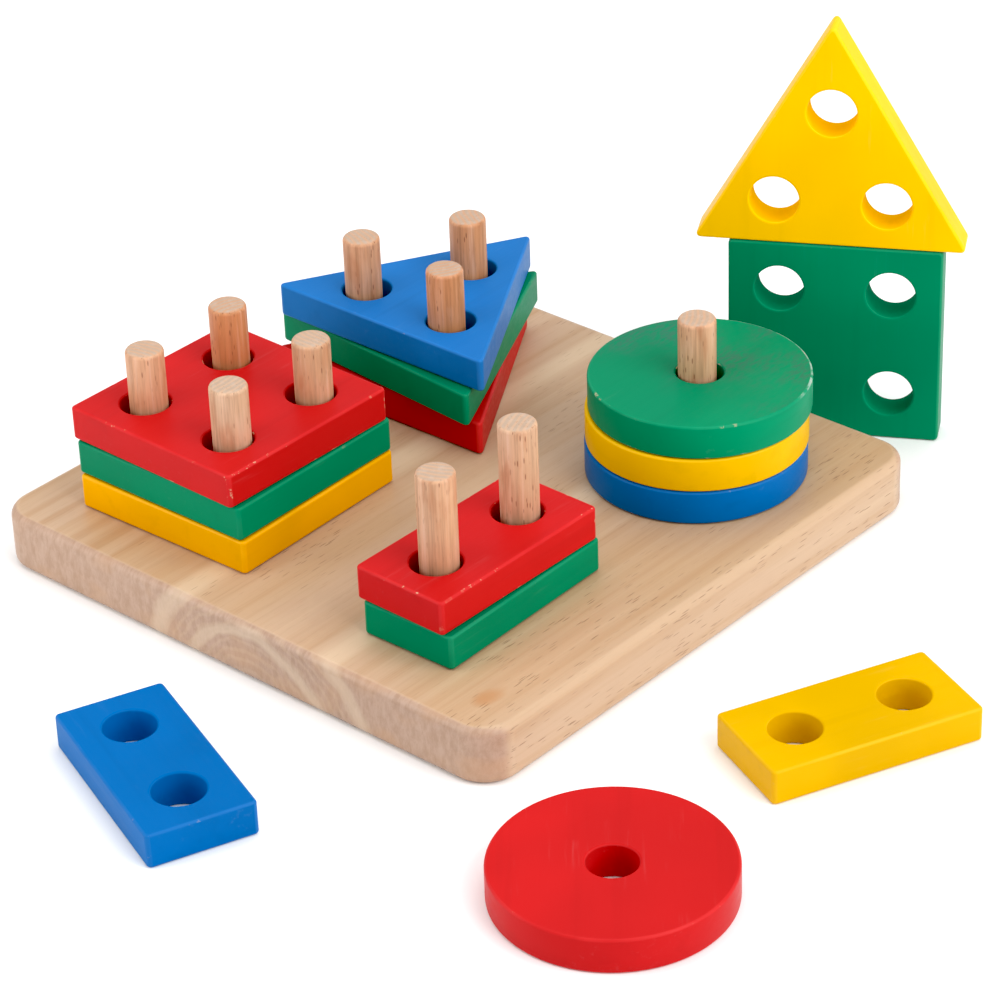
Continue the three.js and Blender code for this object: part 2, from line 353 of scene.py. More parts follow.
def close_flat_face(bm, height):
    """Fills between the outline and the holes at one height with flat faces."""
    ring = [e for e in rim_edges(bm, height) if e.is_boundary]
    made = bmesh.ops.triangle_fill(bm, edges=ring, use_beauty=True, use_dissolve=False, normal=(0, 0, 1))
    for item in made["geom"]:
        if isinstance(item, bmesh.types.BMFace):
            item.smooth = False


def quarter_round(bm, vert, centre, steps, turn=-QUARTER_TURN):
    """Draws a quarter circle on from a point of a profile, and returns the new end point."""
    made = bmesh.ops.spin(
        bm, geom=[vert], cent=centre, axis=(0, 1, 0), dvec=(0, 0, 0), angle=turn, steps=steps
    )
    return next(g for g in made["geom_last"] if isinstance(g, bmesh.types.BMVert))


def straight(bm, vert, move):
    """Draws a straight line on from a point of a profile, and returns the new end point."""
    made = bmesh.ops.extrude_vert_indiv(bm, verts=[vert])
    bmesh.ops.translate(bm, verts=made["verts"], vec=move)
    return made["verts"][0]


def spin_profile(bm, centre, steps):
    """Spins the loose profile lines once round an upright line through the centre, and returns the faces."""
    lines = [e for e in bm.edges if e.is_wire]
    points = list({v for e in lines for v in e.verts})
    old_faces = set(bm.faces)
    bmesh.ops.spin(
        bm,
        geom=points + lines,
        cent=(centre[0], centre[1], 0),
        axis=(0, 0, 1),
        dvec=(0, 0, 0),
        angle=FULL_TURN,
        steps=steps,
        use_merge=True,
        use_duplicate=False,
    )
    rounded = bm.faces.layers.int.get("rounded") or bm.faces.layers.int.new("rounded")
    new_faces = [face for face in bm.faces if face not in old_faces]
    for face in new_faces:
        face.normal_update()
        flatness = abs(face.normal.z)
        face.smooth = flatness < NEARLY_FLAT
        face[rounded] = int(NEARLY_UPRIGHT < flatness < NEARLY_FLAT)
    return new_faces


def line_through_hole(bm, centre, radius, rim, low, high):
    """Gives a hole that goes right through its wall and its two rounded mouths, and marks it as bored."""
    bored = bm.faces.layers.int.get("bored") or bm.faces.layers.int.new("bored")
    mouth = centre[0] + radius + rim
    top = bm.verts.new((mouth, centre[1], high))
    wall_top = quarter_round(bm, top, (mouth, centre[1], high - rim), HOLE_RIM_STEPS)
    wall_foot = straight(bm, wall_top, (0, 0, low - high + 2 * rim))
    quarter_round(bm, wall_foot, (mouth, centre[1], low + rim), HOLE_RIM_STEPS)
    for face in spin_profile(bm, centre, HOLE_STEPS):
        face[bored] = 1


def line_blind_hole(bm, centre, radius, rim, depth, high):
    """Gives a blind hole its rounded mouth, its wall and its flat bottom."""
    mouth = centre[0] + radius + rim
    top = bm.verts.new((mouth, centre[1], high))
    wall_top = quarter_round(bm, top, (mouth, centre[1], high - rim), SEAT_RIM_STEPS)
    wall_foot = straight(bm, wall_top, (0, 0, rim - depth))
    straight(bm, wall_foot, (-radius, 0, 0))
    spin_profile(bm, centre, HOLE_STEPS)


def mark_points(bm, name, face_mark):
    """Stores on each point whether all the faces round it are marked, for the finishes to read."""
    value = bm.verts.layers.float.new(name)
    marked = bm.faces.layers.int[face_mark]
    for vert in bm.verts:
        vert[value] = float(all(face[marked] for face in vert.link_faces))


def box_centre(bm):
    """The middle of a piece's box."""
    low = Vector([min(v.co[i] for v in bm.verts) for i in range(3)])
    high = Vector([max(v.co[i] for v in bm.verts) for i in range(3)])
    return (low + high) / 2


def settle(bm, node, turn):
    """Turns a piece the way it lies, moves it to the CAD node's place, and returns where its origin went."""
    bmesh.ops.transform(bm, matrix=turn.to_matrix().to_4x4(), verts=bm.verts)
    low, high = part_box(node)
    move = (low + high) / 2 - box_centre(bm)
    bmesh.ops.translate(bm, verts=bm.verts, vec=move)
    return move


def hand_over(bm, node, material):
    """Makes the finished piece, which stands for the CAD node and moves with the node's body."""
    mesh = bpy.data.meshes.new(node + "_finished")
    bm.to_mesh(mesh)
    bm.free()
    piece = bpy.data.objects.new(node + "_finished", mesh)
    bpy.context.scene.collection.objects.link(piece)
    piece.data.materials.append(material)
    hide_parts(node)
    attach(piece, BODY_OF[node])


# ---------------------------------------------------------------- finishes


class Finish:
    """A material under construction, with one short call for each kind of node that the finishes use."""

    def __init__(self, name, grain="Y"):
        self.grain = grain
        self.material = bpy.data.materials.new(name)
        self.material.use_nodes = True
        self.tree = self.material.node_tree
        self.tree.nodes.clear()
        output = self.tree.nodes.new("ShaderNodeOutputMaterial")
        self.shader = self.tree.nodes.new("ShaderNodeBsdfPrincipled")
        self.tree.links.new(self.shader.outputs["BSDF"], output.inputs["Surface"])
        self.coordinates = self.tree.nodes.new("ShaderNodeTexCoord")

    def feed(self, socket, value):
        """Links an output to a socket, or sets the socket when the value is plain."""
        if isinstance(value, bpy.types.NodeSocket):
            self.tree.links.new(value, socket)
        else:
            socket.default_value = value

    def local(self, place, turn):
        """Object coordinates measured from the piece's own origin, along its own directions."""
        node = self.tree.nodes.new("ShaderNodeMapping")
        node.vector_type = "TEXTURE"
        self.tree.links.new(self.coordinates.outputs["Object"], node.inputs["Vector"])
        node.inputs["Location"].default_value = place
        node.inputs["Rotation"].default_value = turn
        return node.outputs["Vector"]

    def stretched(self, vector, scale, shift=(0, 0, 0)):
        """Coordinates scaled along each direction, and then moved."""
        node = self.tree.nodes.new("ShaderNodeMapping")
        self.tree.links.new(vector, node.inputs["Vector"])
        self.feed(node.inputs["Scale"], scale)
        self.feed(node.inputs["Location"], shift)
        return node.outputs["Vector"]

    def noise(self, vector, scale, seed, detail=3.0, roughness=0.5):
        """Soft noise, whose scale is how many of its features there are in a metre."""
        node = self.tree.nodes.new("ShaderNodeTexNoise")
        node.noise_dimensions = "4D"
        self.tree.links.new(vector, node.inputs["Vector"])
        node.inputs["W"].default_value = seed
        node.inputs["Scale"].default_value = scale
        node.inputs["Detail"].default_value = detail
        node.inputs["Roughness"].default_value = roughness
        return node.outputs["Fac"]

    def drawn(self, vector, across, along):
        """Coordinates scaled by one number across the wood's grain and another along it."""
        scale = (across, across, along) if self.grain == "Z" else (across, along, across)
        return self.stretched(vector, scale)

    def fibres(self, vector, across, along, seed, detail=3.0, roughness=0.5):
        """Noise drawn out along the wood's grain. Both scales count features in a metre."""
        return self.noise(self.drawn(vector, across, along), 1.0, seed, detail, roughness)

    def cells(self, vector):
        """Distance to the middle of the nearest of many scattered cells."""
        node = self.tree.nodes.new("ShaderNodeTexVoronoi")
        self.tree.links.new(vector, node.inputs["Vector"])
        node.inputs["Scale"].default_value = 1.0
        return node.outputs["Distance"]

    def rings(self, vector, direction, scale, distortion, detail_scale):
        """Growth rings round a line along one direction."""
        node = self.tree.nodes.new("ShaderNodeTexWave")
        node.wave_type = "RINGS"
        node.rings_direction = direction
        self.tree.links.new(vector, node.inputs["Vector"])
        node.inputs["Scale"].default_value = scale
        node.inputs["Distortion"].default_value = distortion
        node.inputs["Detail"].default_value = 2.5
        node.inputs["Detail Scale"].default_value = detail_scale
        return node.outputs["Fac"]

    def spread(self, value, low, high, start=0.0, end=1.0):
        """Carries a value's range from low to high onto start to end, and holds it there."""
        node = self.tree.nodes.new("ShaderNodeMapRange")
        node.interpolation_type = "SMOOTHSTEP"
        self.tree.links.new(value, node.inputs["Value"])
        node.inputs["From Min"].default_value = low
        node.inputs["From Max"].default_value = high
        node.inputs["To Min"].default_value = start
        node.inputs["To Max"].default_value = end
        return node.outputs["Result"]

    def worked_out(self, operation, first, second=0.0):
        """One step of arithmetic on outputs or plain numbers."""
        node = self.tree.nodes.new("ShaderNodeMath")
        node.operation = operation
        self.feed(node.inputs[0], first)
        self.feed(node.inputs[1], second)
        return node.outputs["Value"]

    def plus(self, first, second):
        return self.worked_out("ADD", first, second)

    def minus(self, first, second):
        return self.worked_out("SUBTRACT", first, second)

    def times(self, first, second):
        return self.worked_out("MULTIPLY", first, second)

    def larger(self, first, second):
        return self.worked_out("MAXIMUM", first, second)

    def unsigned(self, value):
        """The value without its sign."""
        return self.worked_out("ABSOLUTE", value)

    def wave(self, value, spacing):
        """A wave from -1 to 1 that repeats each time the value grows by the spacing."""
        return self.worked_out("SINE", self.times(value, FULL_TURN / spacing))

    def mix(self, factor, first, second):
        """Blends two colours. A plain colour is three numbers."""
        node = self.tree.nodes.new("ShaderNodeMix")
        node.data_type = "RGBA"
        self.feed(node.inputs["Factor"], factor)
        colour_sockets = [s for s in node.inputs if s.type == "RGBA"]
        for socket, value in zip(colour_sockets, (first, second)):
            plain = not isinstance(value, bpy.types.NodeSocket)
            self.feed(socket, (*value, 1.0) if plain else value)
        return next(s for s in node.outputs if s.type == "RGBA")

    def reach(self, vector):
        """How far a point is from the origin."""
        node = self.tree.nodes.new("ShaderNodeVectorMath")
        node.operation = "LENGTH"
        self.tree.links.new(vector, node.inputs[0])
        return node.outputs["Value"]

    def band(self, value, middle, half):
        """1 near the middle of a band, falling softly to 0 at its two edges."""
        off = self.unsigned(self.minus(value, middle))
        return self.spread(off, half, half * 0.25)

    def parts(self, vector):
        """The three numbers of a vector."""
        node = self.tree.nodes.new("ShaderNodeSeparateXYZ")
        self.tree.links.new(vector, node.inputs["Vector"])
        return node.outputs["X"], node.outputs["Y"], node.outputs["Z"]

    def joined(self, x, y, z):
        """A vector of three numbers."""
        node = self.tree.nodes.new("ShaderNodeCombineXYZ")
        for socket, value in zip(node.inputs, (x, y, z)):
            self.feed(socket, value)
        return node.outputs["Vector"]

    def chance(self, value):
        """One random number for each whole number, and three more as a vector."""
        node = self.tree.nodes.new("ShaderNodeTexWhiteNoise")
        node.noise_dimensions = "1D"
        self.tree.links.new(value, node.inputs["W"])
        return node.outputs["Value"], node.outputs["Color"]

    def marked(self, name):
        """1 where the piece's points are marked so, and 0 elsewhere: "rim" or "bore"."""
        node = self.tree.nodes.new("ShaderNodeAttribute")
        node.attribute_type = "GEOMETRY"
        node.attribute_name = name
        return node.outputs["Fac"]

    def bump(self, height, strength, distance, under=None):
        """Small relief in the surface, on top of any relief under it."""
        node = self.tree.nodes.new("ShaderNodeBump")
        node.inputs["Strength"].default_value = strength
        node.inputs["Distance"].default_value = distance
        self.tree.links.new(height, node.inputs["Height"])
        if under is not None:
            self.tree.links.new(under, node.inputs["Normal"])
        return node.outputs["Normal"]


def paler(tone, by):
    """A colour moved part of the way to white."""
    return tuple(c + (1.0 - c) * by for c in tone)


def halfway(first, second, by):
    """A colour part of the way from the first to the second."""
    return tuple(a + (b - a) * by for a, b in zip(first, second))


def darker(tone, by):
    """A colour moved part of the way to black."""
    return tuple(c * (1.0 - by) for c in tone)


def brighter(tone, by):
    """A stronger tint of the same colour, or a weaker one where the amount is under 0."""
    return tuple(min(1.0, c * (1.0 + by)) for c in tone)


def paint_finish(node, tone, place, turn, seed, settings):
    """Two coats of satin toy paint over sanded wood, which still shows a little of the grain."""
    finish = Finish(node + "_paint")
    here = finish.local(place, turn)
    clouds = finish.noise(here, 22.0, seed, detail=2.0)
    grain = finish.fibres(here, 620.0, 34.0, seed, detail=4.0, roughness=0.62)
    drag = finish.fibres(here, 210.0, 9.0, seed + 5.0)
    grit = finish.noise(here, 1500.0, seed, detail=2.0)
    rub = finish.noise(here, 330.0, seed + 9.0, detail=4.0, roughness=0.65)
    patch = finish.noise(here, 60.0, seed + 3.0, detail=2.0)

    body = finish.mix(finish.spread(clouds, 0.35, 0.65), darker(tone, 0.08), brighter(tone, 0.04))
    body = finish.mix(finish.spread(drag, 0.52, 0.72, 0.0, 0.2), body, darker(tone, 0.28))
    faint = finish.times(finish.spread(grain, 0.55, 0.75, 0.0, 0.06), finish.spread(patch, 0.45, 0.6))
    body = finish.mix(faint, body, paler(tone, 0.3))

    # The rims are painted lighter, partly for paint that is thinner there and partly as a painted highlight
    # along the rounded edges, and the paint has chipped off some of them.
    rim = finish.marked("rim")
    thin_paint_and_highlight = finish.times(rim, finish.spread(patch, 0.3, 0.6, 0.25, 0.7))
    body = finish.mix(thin_paint_and_highlight, body, brighter(paler(tone, 0.015), 0.12))
    worn = settings.wear * (CHIPPED_WEAR if node in CHIPPED else USUAL_WEAR)
    reached = 0.578 if node in CHIPPED else 0.64
    chips = finish.times(finish.spread(rim, 0.35, 0.8), finish.spread(rub, reached, reached + 0.03))
    chips = finish.times(chips, finish.spread(patch, 0.44, 0.53, 0.0, worn))
    chips = finish.worked_out("MINIMUM", chips, 1.0)
    body = finish.mix(chips, body, halfway(settings.board_pale, tone, 0.25))
    if node in SCUFFED_AND_HIGHLIT:
        body = scuff_and_rim_highlight(finish, body, here, rim, rub, seed, settings)
    finish.feed(finish.shader.inputs["Base Color"], body)

    # The paint is dull inside the holes and where it has chipped.
    dull = 0.62 - 0.42 * settings.gloss
    both = finish.times(finish.plus(clouds, grain), 0.5)
    rough = finish.spread(both, 0.35, 0.65, dull - 0.05, dull + 0.07)
    rough = finish.larger(rough, finish.marked("bore"))
    finish.feed(finish.shader.inputs["Roughness"], finish.plus(rough, finish.times(chips, 0.25)))
    finish.shader.inputs["Specular IOR Level"].default_value = 0.09
    ridges = finish.bump(grain, 0.35, 0.06 * MM)
    ridges = finish.bump(drag, 0.3, 0.12 * MM, ridges)
    ridges = finish.bump(grit, 0.25, 0.03 * MM, ridges)
    finish.feed(finish.shader.inputs["Normal"], ridges)
    return finish.material


def scuff_and_rim_highlight(finish, body, here, rim, rub, seed, settings):
    """Dulls the far side of a block's top where other blocks rubbed it, and paints a narrow pale line along
    the rim there, which is partly worn paint and partly a painted highlight.
    """
    smear = finish.fibres(here, 60.0, 30.0, seed + 12.0)
    scratch = finish.fibres(here, 900.0, 330.0, seed + 14.0, detail=4.0)
    along = finish.parts(here)[1]
    above = finish.spread(finish.parts(finish.coordinates.outputs["Normal"])[2], 0.9, 1.0)
    side = finish.times(finish.spread(along, -22 * MM, 6 * MM), above)
    scuff = finish.times(finish.spread(smear, 0.36, 0.56), finish.spread(scratch, 0.34, 0.62))
    scuff = finish.times(finish.times(scuff, side), 0.75)
    body = finish.mix(scuff, body, settings.scuff)
    # A narrow pale line along the back rim: partly worn paint and partly a painted highlight where the rim
    # catches light from behind.
    line = finish.times(finish.spread(rim, 0.3, 0.9), finish.spread(rub, 0.40, 0.52, 0.0, 0.55))
    line = finish.times(line, finish.spread(along, 2 * MM, 16 * MM))
    return finish.mix(line, body, paler(settings.scuff, 0.5))


def board_finish(settings):
    """Clear-lacquered board with the grain along Y, and end grain at the front and back."""
    finish = Finish("lacquered_board_wood")
    here = finish.local((0, 0, 0), (0, 0, 0))
    x, y, z = finish.parts(here)
    first_joint, second_joint = [finish.worked_out("GREATER_THAN", x, joint) for joint in STAVE_JOINTS]
    stave = finish.plus(first_joint, second_joint)
    stave_tone, stave_chance = finish.chance(finish.plus(stave, 11.0))
    pick_x, pick_y, pick_z = finish.parts(stave_chance)

    # Each stave is sawn from its own part of a log, so its fibres start somewhere else.
    log_x = finish.plus(x, finish.times(pick_x, 0.4))
    log_y = finish.plus(y, finish.times(pick_y, 3.0))
    log_z = finish.plus(z, finish.times(pick_z, 0.3))
    log = finish.joined(log_x, log_y, log_z)

    # Growth rings run round the heart of the log, which lies just under the board.
    sway = finish.fibres(here, 26.0, 2.2, 12.0)
    sway = finish.times(finish.minus(sway, 0.5), 16 * MM)
    heart = finish.joined(finish.minus(x, HEART_X), 0.0, finish.minus(z, HEART_Z))
    ring = finish.plus(finish.reach(heart), sway)
    pale_rings = finish.larger(*[finish.band(ring, radius, half) for radius, half in PALE_RINGS])
    year = finish.wave(ring, TOP_YEAR)

    broad = finish.fibres(log, 40.0, 2.4, 2.0, detail=2.0)
    streak = finish.fibres(log, 190.0, 5.0, 4.0, detail=4.0, roughness=0.6)
    fibre = finish.fibres(log, 1300.0, 30.0, 6.0, roughness=0.6)
    ripple = finish.fibres(log, 70.0, 60.0, 14.0)
    flecks = finish.cells(finish.drawn(log, 1500.0, 105.0))
    flock = finish.fibres(log, 42.0, 15.0, 8.0, detail=2.0)
    flock = finish.plus(flock, finish.times(finish.band(x, 92 * MM, 34 * MM), 0.1))

    body = finish.mix(finish.spread(broad, 0.38, 0.62), settings.board_tan, paler(settings.board_tan, 0.06))
    flames = finish.minus(0.38, finish.times(first_joint, 0.22))
    flames = finish.times(finish.spread(year, -0.2, 1.0), flames)
    body = finish.mix(flames, body, settings.board_dark)
    body = finish.mix(finish.spread(streak, 0.50, 0.76, 0.0, 0.5), body, settings.board_dark)
    body = finish.mix(finish.spread(streak, 0.46, 0.26, 0.0, 0.42), body, settings.board_pale)
    body = finish.mix(finish.spread(fibre, 0.5, 0.78, 0.0, 0.2), body, darker(settings.board_dark, 0.3))
    body = finish.mix(finish.spread(ripple, 0.52, 0.72, 0.0, 0.16), body, settings.board_end)
    body = finish.mix(finish.times(pale_rings, 0.75), body, paler(settings.board_pale, 0.04))
    body = finish.mix(finish.times(stave_tone, 0.1), body, settings.board_pale)
    first_line = finish.band(x, STAVE_JOINTS[0], 0.5 * MM)
    second_line = finish.band(x, STAVE_JOINTS[1], 0.7 * MM)
    glue = finish.times(finish.larger(first_line, second_line), finish.spread(broad, 0.4, 0.6, 0.12, 0.4))
    body = finish.mix(glue, body, settings.board_dark)
    pores = finish.times(finish.spread(flecks, 0.25, 0.12), finish.spread(flock, 0.50, 0.66, 0.12, 0.8))
    body = finish.mix(pores, body, settings.board_pore)

    # The front and back show the ends of the fibres, which drink in more lacquer.
    facing = finish.parts(finish.coordinates.outputs["Normal"])
    ends = finish.spread(finish.unsigned(facing[1]), 0.1, 0.42)
    mottle = finish.noise(finish.stretched(log, (620.0, 90.0, 240.0)), 1.0, 3.0, detail=5.0, roughness=0.7)
    blush = finish.noise(finish.stretched(here, (55.0, 8.0, 90.0)), 1.0, 21.0)
    pale_end = paler(settings.board_end, 0.06)
    dark_end = darker(settings.board_end, 0.13)
    end_tone = finish.mix(finish.spread(mottle, 0.35, 0.68), pale_end, dark_end)
    end_tone = finish.mix(finish.spread(blush, 0.46, 0.68, 0.0, 0.45), end_tone, settings.board_blush)
    shake = finish.times(finish.noise(here, 70.0, 31.0), 9 * MM)
    arcs = finish.wave(finish.plus(ring, shake), END_YEAR)
    near_heart = finish.spread(ring, 58 * MM, 40 * MM)
    arcs = finish.times(finish.spread(arcs, -0.2, 1.0, 0.0, 0.17), near_heart)
    end_tone = finish.mix(arcs, end_tone, settings.board_pale)
    end_tone = finish.mix(finish.times(pale_rings, 0.42), end_tone, paler(settings.board_pale, 0.1))
    body = finish.mix(finish.times(ends, 0.9), body, end_tone)

    # One small stain near the front corner.
    stain_x = finish.times(finish.minus(x, STAIN_X), 300.0)
    stain_y = finish.times(finish.minus(y, STAIN_Y), 170.0)
    stain = finish.plus(finish.times(stain_x, stain_x), finish.times(stain_y, stain_y))
    stain = finish.plus(stain, finish.spread(ripple, 0.3, 0.7, -0.4, 0.5))
    body = finish.mix(finish.spread(stain, 1.5, -0.3, 0.0, 0.6), body, settings.board_stain)

    # The rounded edges are painted paler, partly for rubbing by hands and partly as a painted highlight
    # where the rounding catches the light, except where they cross the ends of the fibres.
    rubbed = finish.times(finish.marked("rim"), finish.minus(0.16, finish.times(ends, 0.16)))
    body = finish.mix(rubbed, body, paler(settings.board_pale, 0.1))
    finish.feed(finish.shader.inputs["Base Color"], body)
    finish.feed(finish.shader.inputs["Roughness"], finish.spread(streak, 0.3, 0.7, 0.36, 0.50))
    finish.shader.inputs["Specular IOR Level"].default_value = 0.35
    ridges = finish.bump(fibre, 0.35, 0.06 * MM)
    ridges = finish.bump(streak, 0.25, 0.1 * MM, ridges)
    ridges = finish.bump(finish.minus(1.0, pores), 0.5, 0.12 * MM, ridges)
    finish.feed(finish.shader.inputs["Normal"], ridges)
    return finish.material


def peg_finish(node, place, seed, settings):
    """Bare sanded dowel, with the grain along it and dark flecks where the pores are cut open."""
    finish = Finish(node + "_wood", grain="Z")
    here = finish.local(place, (0, 0, 0))
    # Each dowel is cut from its own place in a log.
    away = (0.034 * math.sin(seed), 0.034 * math.cos(seed), seed * 0.31)
    log = finish.stretched(here, (1.0, 1.0, 1.0), away)
    rings = finish.rings(finish.drawn(log, 1.0, 0.05), "Z", 170.0, 4.0, 0.5)
    streak = finish.fibres(log, 520.0, 14.0, seed, detail=4.0, roughness=0.65)
    fibre = finish.fibres(log, 1500.0, 70.0, seed + 2.0, detail=4.0)
    broad = finish.fibres(log, 90.0, 12.0, seed + 4.0, detail=2.0)
    flecks = finish.cells(finish.drawn(log, 1000.0, 190.0))
    flock = finish.fibres(log, 150.0, 50.0, seed + 6.0, detail=2.0)
    blotch = finish.fibres(log, 240.0, 55.0, seed + 8.0)

    tone = halfway(settings.peg_pale, settings.peg_warm, WARMTH[node])
    body = finish.mix(finish.spread(broad, 0.35, 0.65), paler(tone, 0.05), darker(tone, 0.07))
    body = finish.mix(finish.spread(rings, 0.3, 0.9, 0.0, 0.2), body, darker(tone, 0.3))
    body = finish.mix(finish.spread(streak, 0.46, 0.68, 0.0, 0.7), body, darker(tone, 0.42))
    body = finish.mix(finish.spread(streak, 0.46, 0.28, 0.0, 0.55), body, paler(tone, 0.18))
    body = finish.mix(finish.spread(fibre, 0.48, 0.68, 0.0, 0.4), body, darker(tone, 0.42))
    body = finish.mix(finish.spread(blotch, 0.50, 0.66, 0.0, 0.42), body, settings.peg_dark)
    body = finish.mix(finish.spread(blotch, 0.46, 0.32, 0.0, 0.3), body, paler(tone, 0.15))
    pores = finish.times(finish.spread(flecks, 0.26, 0.12), finish.spread(flock, 0.45, 0.60, 0.12, 0.72))
    body = finish.mix(pores, body, settings.peg_pore)

    facing = finish.parts(finish.coordinates.outputs["Normal"])
    ends = finish.spread(finish.unsigned(facing[2]), 0.6, 0.95)
    end_tone = finish.mix(finish.spread(rings, 0.3, 0.9, 0.0, 0.45), settings.peg_end, tone)
    end_tone = finish.mix(finish.spread(streak, 0.45, 0.7, 0.0, 0.3), end_tone, paler(settings.peg_end, 0.3))
    end_tone = finish.mix(finish.times(pores, 0.5), end_tone, settings.peg_dark)
    body = finish.mix(finish.times(ends, 0.9), body, end_tone)
    finish.feed(finish.shader.inputs["Base Color"], body)
    finish.feed(finish.shader.inputs["Roughness"], finish.spread(streak, 0.3, 0.7, 0.48, 0.62))
    finish.shader.inputs["Specular IOR Level"].default_value = 0.35
    ridges = finish.bump(fibre, 0.4, 0.06 * MM)
    ridges = finish.bump(finish.minus(1.0, pores), 0.6, 0.12 * MM, ridges)
    finish.feed(finish.shader.inputs["Normal"], ridges)
    return finish.material


# ---------------------------------------------------------------- one operator for each kind of piece


class SHAPEBOARD_OT_board(bpy.types.Operator):
    """Make the base board with its peg holes"""

    bl_idname = "shape_board.board"
    bl_label = "Base Board"

    def execute(self, context):
        sizes = context.scene.shape_board_board
        finishes = context.scene.shape_board_finishes
        high = sizes.thickness
        bm = square_prism(sizes.side, 0.0, high)
        round_edges(bm, upright_edges(bm), sizes.corner, BOARD_CORNER_STEPS)
        round_edges(bm, rim_edges(bm, 0.0) + rim_edges(bm, high), sizes.edge, BOARD_EDGE_STEPS)
        open_flat_faces(bm, (0.0, high))
        for peg in PEGS:
            low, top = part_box(peg)
            radius = (top.x - low.x) / 2 + sizes.seat_gap
            middle = (low + top) / 2
            line_blind_hole(bm, middle, radius, sizes.seat_rim, sizes.seat_depth, high)
        bmesh.ops.remove_doubles(bm, verts=bm.verts, dist=DOUBLE)
        close_flat_face(bm, 0.0)
        close_flat_face(bm, high)
        bmesh.ops.recalc_face_normals(bm, faces=bm.faces)
        mark_points(bm, "rim", "rounded")
        settle(bm, BOARD_NODE, Euler((0, 0, 0)))
        hand_over(bm, BOARD_NODE, board_finish(finishes))
        return {"FINISHED"}


class SHAPEBOARD_OT_pegs(bpy.types.Operator):
    """Make the ten dowel pegs"""

    bl_idname = "shape_board.pegs"
    bl_label = "Dowel Pegs"

    def execute(self, context):
        sizes = context.scene.shape_board_pegs
        finishes = context.scene.shape_board_finishes
        for number, node in enumerate(PEGS):
            low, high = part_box(node)
            radius = (high.x - low.x) / 2
            middle = (low + high) / 2
            bm = bmesh.new()
            head = bm.verts.new((0, 0, high.z))
            shoulder = straight(bm, head, (radius - sizes.tip, 0, 0))
            pivot = (radius - sizes.tip, 0, high.z - sizes.tip)
            side = quarter_round(bm, shoulder, pivot, PEG_TIP_STEPS, QUARTER_TURN)
            foot = straight(bm, side, (0, 0, low.z - high.z + sizes.tip + sizes.foot))
            heel = straight(bm, foot, (-sizes.foot, 0, -sizes.foot))
            straight(bm, heel, (sizes.foot - radius, 0, 0))
            spin_profile(bm, (0, 0), PEG_STEPS)
            bmesh.ops.remove_doubles(bm, verts=bm.verts, dist=DOUBLE)
            bmesh.ops.recalc_face_normals(bm, faces=bm.faces)
            mark_points(bm, "rim", "rounded")
            settle(bm, node, Euler((0, 0, 0)))
            seed = 1.0 + number * 1.7
            material = peg_finish(node, (middle.x, middle.y, 0.0), seed, finishes)
            hand_over(bm, node, material)
        return {"FINISHED"}


def square_holes(spacing):
    """The places of a square block's four holes."""
    half = spacing / 2
    return [(x, y) for x in (-half, half) for y in (-half, half)]


def triangle_holes(spacing):
    """The places of a triangle block's three holes, each towards its corner."""
    reach = spacing / math.sqrt(3)
    turns = [FULL_TURN * corner / 3 for corner in range(3)]
    return [(reach * math.sin(turn), reach * math.cos(turn)) for turn in turns]


def make_blocks(rows, new_outline, holes, hole_diameter, context, first_seed):
    """Makes the blocks of one shape: outline, holes, rounded rims and paint."""
    sizes = context.scene.shape_board_blocks
    finishes = context.scene.shape_board_finishes
    for number, (node, paint, lie, degrees) in enumerate(rows):
        low, high = -sizes.thickness / 2, sizes.thickness / 2
        bm = new_outline(low, high)
        round_edges(bm, rim_edges(bm, low) + rim_edges(bm, high), sizes.edge, BLOCK_EDGE_STEPS)
        open_flat_faces(bm, (low, high))
        for hole in holes:
            line_through_hole(bm, hole, hole_diameter / 2, sizes.hole_rim, low, high)
        close_flat_face(bm, low)
        close_flat_face(bm, high)
        bmesh.ops.recalc_face_normals(bm, faces=bm.faces)
        mark_points(bm, "rim", "rounded")
        mark_points(bm, "bore", "bored")
        lean = QUARTER_TURN if lie == UPRIGHT else 0.0
        turn = Euler((lean, 0, math.radians(degrees)))
        place = settle(bm, node, turn)
        # Some blocks are made brighter or paler here, mostly as painted light on them.
        more, milk = PAINT_TONES_AND_PAINTED_LIGHT.get(node, (0.0, 0.0))
        tone = paler(brighter(getattr(finishes, paint), more), milk)
        material = paint_finish(node, tone, place, turn, first_seed + number * 3.1, finishes)
        hand_over(bm, node, material)


class SHAPEBOARD_OT_squares(bpy.types.Operator):
    """Make the four square blocks"""

    bl_idname = "shape_board.squares"
    bl_label = "Square Blocks"

    def execute(self, context):
        sizes = context.scene.shape_board_blocks

        def outline(low, high):
            bm = square_prism(sizes.square_side, low, high)
            round_edges(bm, upright_edges(bm), sizes.corner, BLOCK_CORNER_STEPS)
            return bm

        holes = square_holes(sizes.spacing)
        make_blocks(SQUARES, outline, holes, sizes.hole, context, first_seed=2.0)
        return {"FINISHED"}


class SHAPEBOARD_OT_triangles(bpy.types.Operator):
    """Make the four triangle blocks"""

    bl_idname = "shape_board.triangles"
    bl_label = "Triangle Blocks"

    def execute(self, context):
        sizes = context.scene.shape_board_blocks

        def outline(low, high):
            bm = prism(3, sizes.triangle_side / math.sqrt(3), low, high)
            # In a corner of 60 degrees, the rounding starts this far from the point.
            reach = sizes.corner * math.sqrt(3)
            round_edges(bm, upright_edges(bm), reach, TRIANGLE_CORNER_STEPS)
            return bm

        holes = triangle_holes(sizes.spacing)
        make_blocks(TRIANGLES, outline, holes, sizes.hole, context, first_seed=17.0)
        return {"FINISHED"}


